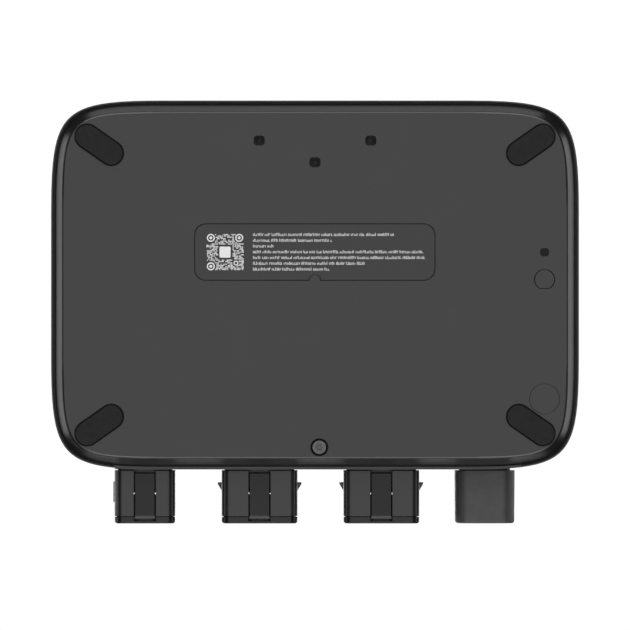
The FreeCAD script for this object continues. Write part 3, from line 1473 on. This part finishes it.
def signal_cap():
    """The rubber cap pushed over the signal port, a little narrower at its end."""
    body = new_body("SignalCap")
    back = case_front - d.cap_stand_off
    wall = (d.cap_width - d.signal_width) / 2
    height = d.signal_height + wall * 2
    draft = d.cap_draft
    size = (d.cap_width, height, d.port_round + wall)
    large = box_sketch(body, "XZ_Plane", (signal_x, back, port_axis), *size)
    size = (d.cap_width - draft * 2, height - draft * 2, d.port_round + wall - draft)
    small = box_sketch(body, "XZ_Plane", (signal_x, mouth, port_axis), *size)
    loft(body, large, small)
    dress(body, "Fillet", flat_at("Y", mouth), d.cap_end_round)
    gap = d.cap_gap
    size = (d.signal_width + gap * 2, d.signal_height + gap * 2, d.port_round + gap)
    inside = box_sketch(body, "XZ_Plane", (signal_x, back, port_axis), *size)
    pocket(body, inside, back - signal_mouth + gap, 1)
    return node(body, "signal_port_cap")


def flange_gaskets():
    """A flat gasket between each port's flange and the panel."""
    gaskets = []
    ports = [(x, width, d.port_height) for x, width, _ in PORTS.values()]
    for x, width, height in ports + [(signal_x, d.signal_width, d.signal_height)]:
        body = new_body("FlangeGasket")
        at = (x, flange_front, port_axis)
        size = (width + d.port_flange_side * 2, height + d.port_flange_over * 2, d.port_wall)
        pad(body, box_sketch(body, "XZ_Plane", at, *size), d.port_seal)
        gap = d.port_clearance * 2
        hole = (width + gap, height + gap, d.port_round + d.port_clearance)
        pocket(body, box_sketch(body, "XZ_Plane", at, *hole), d.port_seal, 1)
        flange_holes(body, x, width, flange_front, d.port_seal)
        gaskets.append(body)
    return node(together(gaskets, "FlangeGaskets"), "port_flange_gaskets")


# ------------------------------------------------------------------------------- screws and fittings


def gather(shapes, name):
    """A node of several solids, each some object's shape carried to a placement."""
    doc.recompute()
    made = doc.addObject("Part::Feature", name)
    solids = []
    for thing, placement in shapes:
        solid = thing.Shape.copy()
        solid.Placement = placement.multiply(solid.Placement)
        solids.append(solid)
    made.Shape = Part.makeCompound(solids)
    return made


def cover_screw(at):
    """An M4 flat head that faces down, with a six-lobed drive round a security pin."""
    x, y, low = at
    body = new_body("CoverScrew")
    radius = d.screw_head_radius
    height = d.screw_head_height
    rise = height + d.screw_shank
    profile = [
        (0, 0),
        (radius - d.head_round, 0),
        (radius, d.head_round),
        (radius, height),
        (d.screw_shank_radius, height),
        (d.screw_shank_radius, rise - d.thread_tip),
        (d.screw_shank_radius - d.thread_tip, rise),
        (0, rise),
    ]
    revolve(body, polygon_sketch(body, "XZ_Plane", (x, y, low), profile))
    centre = (x, y, low)
    well = circle_sketch(body, "XY_Plane", centre, d.drive_radius)
    pocket(body, well, d.drive_depth, 1)
    lobe = circle_sketch(body, "XY_Plane", (x + d.drive_radius, y, low), d.lobe_radius)
    first = pocket(body, lobe, d.drive_depth, 1)
    turn_round(body, [first], well, 6)
    at = (x, y, low + d.drive_pin_sink)
    pad(body, circle_sketch(body, "XY_Plane", at, d.drive_pin_radius), d.drive_depth)
    return body


def front_cover_screw():
    at = (d.front_screw_x, front_screw_y, underside + d.front_screw_sink)
    return node(cover_screw(at), "cover_screw_front")


def hidden_cover_screws():
    master = cover_screw((0, 0, 0))
    low = underside + d.foot_recess + d.hidden_screw_sink
    places = [(master, at_point(x, y, low)) for _, x, y, _ in foot_points()]
    return node(gather(places, "HiddenScrews"), "hidden_cover_screws")


def small_screw():
    """An M3 socket head screw; its head's underside is at its own zero and its shank goes up."""
    body = new_body("SmallScrew")
    low = -d.small_head_height
    profile = [
        (0, low),
        (d.small_head_radius - d.small_bevel, low),
        (d.small_head_radius, low + d.small_bevel),
        (d.small_head_radius, 0),
        (d.small_core, 0),
        (d.small_core, d.small_shank - d.small_tip),
        (d.small_core - d.small_tip, d.small_shank),
        (0, d.small_shank),
    ]
    revolve(body, polygon_sketch(body, "XZ_Plane", (0, 0, 0), profile))
    pocket(body, circle_sketch(body, "XY_Plane", (0, 0, low), d.socket_radius), d.socket_depth, 1)
    return body


def flange_screws(master):
    forward = (1, 0, 0)
    places = [(master, at_point(x, flange_back, z, forward, 90)) for x, z in flange_screw_points()]
    return node(gather(places, "FlangeScrews"), "port_flange_screws")


def board_screws(master):
    places = [(master, at_point(x, y, board_low)) for x, y in stand_points()]
    return node(gather(places, "BoardScrews"), "board_screws")


def top_screws():
    """Countersunk screws through the top skin into the heat sink's flange."""
    body = new_body("TopScrew")
    head = d.top_screw_radius
    cone = head - d.small_core
    low = -d.top_screw_length
    profile = [
        (0, low),
        (d.small_core - d.small_tip, low),
        (d.small_core, low + d.small_tip),
        (d.small_core, -cone),
        (head, -d.top_screw_sink),
        (0, -d.top_screw_sink),
    ]
    revolve(body, polygon_sketch(body, "XZ_Plane", (0, 0, 0), profile))
    pocket(body, circle_sketch(body, "XY_Plane", (0, 0, 0), d.socket_radius), d.socket_depth, -1)
    places = [(body, at_point(x, y, shell_top)) for x, y in top_screw_points()]
    return node(gather(places, "TopScrews"), "top_screws")


def foot(corner, x, y, turn):
    body = new_body("Foot")
    sketch = new_sketch(body, "XY_Plane", (x, y, 0), turn)
    draw_slot(sketch, d.foot_straight, d.foot_radius)
    pad(body, sketch, underside + d.foot_recess)
    dress(body, "Fillet", flat_at("Z", 0), d.foot_round)
    return node(body, f"foot_{corner}")


def access_plug():
    """A flush plug with a stem that snaps behind the base cover's floor."""
    body = new_body("AccessPlug")
    pad(body, circle_sketch(body, "XY_Plane", (column_x, plug_y, underside), d.plug_radius), d.plug_thick)
    stem = d.plug_radius - d.plug_ledge - d.plug_gap * 2
    at = (column_x, plug_y, underside)
    pad(body, circle_sketch(body, "XY_Plane", at, stem), d.cover_floor + d.plug_snap)
    at = (column_x, plug_y, cover_inside + d.plug_snap)
    pad(body, circle_sketch(body, "XY_Plane", at, stem + d.plug_gap * 3), d.plug_snap_height)
    at = (column_x, plug_y, underside + d.plug_thick)
    hollow = circle_sketch(body, "XY_Plane", at, stem - d.plug_wall)
    pocket(body, hollow, d.cover_floor, 1)
    return node(body, "access_plug")


def pairing_button():
    """A D-shaped button held by a flange behind the base cover's floor."""
    body = new_body("PairingButton")
    low = (column_x, d.button_y, underside)
    radius = d.button_hole - d.button_gap
    chord = d.button_chord - d.button_gap
    pad(body, chord_sketch(body, low, radius, chord), d.cover_floor)
    dress(body, "Fillet", flat_at("Z", underside), d.button_gap / 2)
    back = (column_x, d.button_y, cover_inside)
    pad(body, circle_sketch(body, "XY_Plane", back, d.button_flange), d.button_flange_thick)
    return node(body, "pairing_button")


def button_dome():
    """The hollow silicone dome that pushes the button back."""
    body = new_body("ButtonDome")
    low = cover_inside + d.button_flange_thick
    height = interface_low - low
    rim = d.dome_radius
    wall = d.dome_wall
    neck = d.dome_neck
    profile = [
        (0, 0),
        (neck, 0),
        (rim, height - wall),
        (rim, height),
        (rim - wall, height),
        (neck - wall, wall),
        (0, wall),
    ]
    revolve(body, polygon_sketch(body, "XZ_Plane", (column_x, d.button_y, low), profile))
    return node(body, "button_dome")


def indicator_lens():
    """The light pipe in its window, with a collar behind the floor."""
    body = new_body("IndicatorLens")
    at = (column_x, d.lens_y, underside + d.lens_sink)
    gap = d.lens_gap * 2
    size = (d.lens_width - gap, d.lens_height - gap, d.lens_round - d.lens_gap)
    pad(body, box_sketch(body, "XY_Plane", at, *size), d.cover_floor - d.lens_sink + d.lens_inside)
    at = (column_x, d.lens_y, cover_inside)
    size = (d.lens_width + d.lens_collar * 2, d.lens_height + d.lens_collar * 2, d.lens_round)
    pad(body, box_sketch(body, "XY_Plane", at, *size), d.lens_collar)
    return node(body, "indicator_lens")


def bracket_inserts():
    """Three threaded inserts, drawn as plain tubes with a groove."""
    body = new_body("BracketInsert")
    top = d.insert_length
    middle = top / 2
    groove = d.insert_groove
    profile = [
        (d.insert_bore, 0),
        (d.insert_radius, 0),
        (d.insert_radius, middle - groove * 2),
        (d.insert_radius - groove, middle - groove),
        (d.insert_radius - groove, middle + groove),
        (d.insert_radius, middle + groove * 2),
        (d.insert_radius, top),
        (d.insert_bore, top),
    ]
    revolve(body, polygon_sketch(body, "XZ_Plane", (0, 0, 0), profile))
    low = underside + d.window_depth
    places = [(body, at_point(x, y, low)) for x, y in bracket_points()]
    return node(gather(places, "BracketInserts"), "bracket_inserts")


# --------------------------------------------------------------------------------------- electronics


def main_board():
    body = new_body("MainBoard")
    size = (board_width, board_depth, d.board_thick * 2)
    pad(body, box_sketch(body, "XY_Plane", (0, 0, board_low), *size), d.board_thick)
    clear = d.small_core + d.screw_clear
    pocket(body, circles_sketch(body, board_low, stand_points(), clear), d.board_thick, 1)
    return node(body, "main_board")


def core_places():
    """Each wound part's centre in X, its length and its depth."""
    side = choke_side
    middle = Size(0.0, "0")
    return [(middle, core_length, core_depth), (choke_x, side, side), (-choke_x, side, side)]


def magnetics_cores():
    """A transformer and two chokes: plates, outer legs and a round centre leg each."""
    cores = []
    plate = d.core_plate
    height = d.core_height
    for x, width, depth in core_places():
        low = centred_box((width, depth, plate), (x, 0), board_top, "CorePlate")
        high = centred_box((width, depth, plate), (x, 0), board_top + height - plate, "CorePlate")
        leg = width * d.leg_share
        legs = []
        for side in (-1, 1):
            centre = (x + side * (width - leg) / 2, 0)
            legs.append(centred_box((leg, depth, height), centre, board_top, "CoreLeg"))
        middle = new_cylinder(depth * d.centre_leg_share, height, (x, 0, board_top), "CentreLeg")
        cores.append(fuse([low, high, middle] + legs, "Core"))
    return node(together(cores, "MagneticsCores"), "magnetics_cores")


def magnetics_windings():
    """The coil round each core's centre leg."""
    coils = []
    gap = d.coil_gap
    low = board_top + d.core_plate + gap
    height = d.core_height - d.core_plate * 2 - gap * 2
    for x, width, depth in core_places():
        leg = width * d.leg_share
        outer = new_cylinder(width / 2 - leg - gap, height, (x, 0, low), "CoilOutside")
        inner = new_cylinder(depth * d.centre_leg_share + gap, height, (x, 0, low), "CoilInside")
        coils.append(cut(outer, [inner], "Coil"))
    return node(together(coils, "MagneticsWindings"), "magnetics_windings")


def transistor_points():
    pitch = d.transistor_width + d.transistor_gap
    count = int(board_width * d.transistor_row_share / pitch)
    first = -pitch * (count - 1) / 2
    return [(first + pitch * i, side * transistor_row) for side in (-1, 1) for i in range(count)]


def power_transistors():
    """Two rows of flat power packages with a tab hole each."""
    body = new_body("Transistor")
    size = (d.transistor_width, d.transistor_depth, d.transistor_bevel)
    pad(body, box_sketch(body, "XY_Plane", (0, 0, 0), *size), d.transistor_height)
    dress(body, "Chamfer", flat_at("Z", d.transistor_height), d.transistor_bevel)
    at = (0, d.transistor_depth / 4, d.transistor_height)
    dimple = circle_sketch(body, "XY_Plane", at, d.transistor_dimple)
    pocket(body, dimple, d.transistor_height / 2, -1)
    places = [(body, at_point(x, y, board_top)) for x, y in transistor_points()]
    return node(gather(places, "PowerTransistors"), "power_transistors")


def thermal_pads():
    """A soft strip between each transistor row and the heat sink's pedestal."""
    low = board_top + d.transistor_height
    strips = []
    length = board_width * d.transistor_row_share - d.pad_margin * 2
    for side in (-1, 1):
        size = (length, d.transistor_depth - d.pad_margin * 2, d.pad_thick)
        strips.append(centred_box(size, (0, side * transistor_row), low, "ThermalPad"))
    return node(together(strips, "ThermalPads"), "thermal_pads")


def bulk_capacitors():
    """Rows of electrolytic cans at the board's two ends."""
    body = new_body("Capacitor")
    radius = d.capacitor_radius
    height = d.capacitor_height
    crimp = d.capacitor_crimp
    profile = [
        (0, 0),
        (radius, 0),
        (radius, crimp * 3),
        (radius - crimp, crimp * 4),
        (radius, crimp * 5),
        (radius, height - d.capacitor_round),
        (radius - d.capacitor_round, height),
        (0, height),
    ]
    revolve(body, polygon_sketch(body, "XZ_Plane", (0, 0, 0), profile))
    pitch = radius * 2 + d.capacitor_gap
    span = transistor_row * 2 - d.stand_radius * 2 - d.transistor_in
    count = int(span / pitch) + 1
    first = -pitch * (count - 1) / 2
    x = board_width / 2 - d.capacitor_side
    centres = [(side * x, first + pitch * i) for side in (-1, 1) for i in range(count)]
    places = [(body, at_point(*centre, board_top)) for centre in centres]
    return node(gather(places, "BulkCapacitors"), "bulk_capacitors")


def input_fuse():
    """A strip fuse in its holder between the input's and the first output's busbars."""
    centre = ((output_a_x + input_x) / 2 + d.fuse_off_centre, d.fuse_in - board_depth / 2)
    length = d.fuse_length
    width = d.fuse_width
    seat = board_top + d.fuse_base
    step = d.fuse_blade
    base = centred_box((length, width, d.fuse_base), centre, board_top, "FuseBase")
    body = centred_box((length / 2, width - step * 2, d.fuse_case), centre, seat, "FuseBody")
    blade = centred_box((length - step * 2, width / 2, step), centre, seat, "FuseBlade")
    return node(fuse([base, body, blade], "InputFuse"), "input_fuse")


def control_chips():
    """Square control chips in the lanes between the wound parts and the transistors."""
    size = (d.chip_side, d.chip_side, d.chip_height)
    chips = []
    for y in (-chip_lane, chip_lane):
        for step in (-2, -1, 0, 1, 2):
            chips.append(centred_box(size, (d.chip_pitch * step, y), board_top, "Chip"))
    return node(together(chips, "ControlChips"), "control_chips")


def busbars():
    """An L-shaped bar from each power stud down to the main board."""
    bars = []
    front = flange_back + d.pin_collar_thick
    land = d.busbar_land - board_depth / 2
    thick = d.busbar_thick
    height = socket_axis + d.busbar_width / 2 + thick / 2 - board_top
    for x, _, pitch in PORTS.values():
        for offset in pin_offsets(pitch):
            low_x = x + offset - d.busbar_width / 2
            tab = new_box((d.busbar_width, thick, height), (low_x, front, board_top), "BusbarTab")
            run = new_box((d.busbar_width, land - front, thick), (low_x, front, board_top), "BusbarFoot")
            at = (x + offset, front - thick / 2, socket_axis)
            stud = new_cylinder(d.pin_stud + d.fit_gap, thick * 2, at, "StudHole", "Y")
            bars.append(cut(fuse([tab, run]), [stud], "Busbar"))
    return node(together(bars, "Busbars"), "busbars")


def interface_board():
    """The board behind the pairing button, on two pegs of the base cover."""
    body = new_body("InterfaceBoard")
    centre_y = (interface_front + interface_rear) / 2
    size = (d.interface_width, interface_rear - interface_front, d.interface_thick)
    board = box_sketch(body, "XY_Plane", (column_x, centre_y, interface_low), *size)
    pad(body, board, d.interface_thick)
    pegs = [(column_x, front_peg), (column_x, rear_peg)]
    holes = circles_sketch(body, interface_low, pegs, d.peg_radius + d.fit_gap)
    pocket(body, holes, d.interface_thick, 1)
    return node(body, "interface_board")


def radio_module():
    """A shielded radio and its aerial block, between the front peg and the nearer ribbon cable."""
    front = front_peg + d.peg_radius * 2 + d.radio_front_gap
    rear = d.button_y - d.ribbon_front - d.ribbon_width - d.radio_rear_gap
    split = front + (rear - front) * d.aerial_share
    left = column_x - d.radio_width / 2
    size = (d.radio_width, rear - split, d.radio_height)
    can = new_box(size, (left, split, interface_top), "RadioCan")
    size = (d.radio_width, split - front, d.aerial_height)
    aerial = new_box(size, (left, front, interface_top), "RadioAerial")
    return node(fuse([can, aerial], "RadioModule"), "radio_module")


def status_led():
    low = cover_inside + d.lens_inside + d.led_gap
    size = (d.led_width, d.led_depth, interface_low - low)
    led = centred_box(size, (column_x, d.lens_y), low, "Led")
    return node(together([led], "StatusLed"), "status_led")


def ribbon_cables():
    """Two flat cables from the interface board up to the main board."""
    thick = d.ribbon_thick
    edge = -board_width / 2 - d.ribbon_reach
    start = column_x + d.ribbon_start
    over = -board_width / 2 + d.ribbon_reach
    low = interface_top
    profile = [
        (start, low),
        (edge + thick, low),
        (edge + thick, board_top),
        (over, board_top),
        (over, board_top + thick),
        (edge, board_top + thick),
        (edge, low + thick),
        (start, low + thick),
    ]
    cables = []
    for y in (d.button_y - d.ribbon_front, d.button_y + d.ribbon_rear):
        body = new_body("Ribbon")
        sketch = polygon_sketch(body, "XZ_Plane", (0, y, 0), profile)
        pad(body, sketch, d.ribbon_width)
        cables.append(body)
    return node(together(cables, "RibbonCables"), "ribbon_cables")


# --------------------------------------------------------------------------------------------- build

bottom_cover()
case_shell()
heat_sink()
cover_gasket()
heat_sink_gasket()
port_panel()
label_plate()
access_plug()
pairing_button()
button_dome()
indicator_lens()
bracket_inserts()
for corner, x, y, turn in foot_points():
    foot(corner, x, y, turn)
front_cover_screw()
hidden_cover_screws()
top_screws()

pin = power_pin()
nut = terminal_nut()
for port in PORTS:
    power_housing(port)
    mouth_ring(port)
    insulator(port)
    power_contacts(port, pin, nut)
    latch_lever(port)
    latch_spring(port)
latch_pins()
signal_housing()
signal_insulator()
signal_contacts()
signal_cap()
flange_gaskets()
screw = small_screw()
flange_screws(screw)
board_screws(screw)

main_board()
magnetics_cores()
magnetics_windings()
power_transistors()
thermal_pads()
bulk_capacitors()
input_fuse()
control_chips()
busbars()
interface_board()
radio_module()
status_led()
ribbon_cables()

doc.recompute()
for thing in doc.Objects:
    if "Invalid" in thing.State or "Error" in thing.State:
        raise ValueError(f"{thing.Label} does not build: {thing.State}")
for label, thing in nodes.items():
    if thing.Shape.isNull() or not thing.Shape.isValid():
        raise ValueError(f"{label} has no valid shape")

os.makedirs("parts", exist_ok=True)
for label, thing in nodes.items():
    thing.Shape.exportStep(f"parts/{label}.step")
print(len(nodes), "parts written")
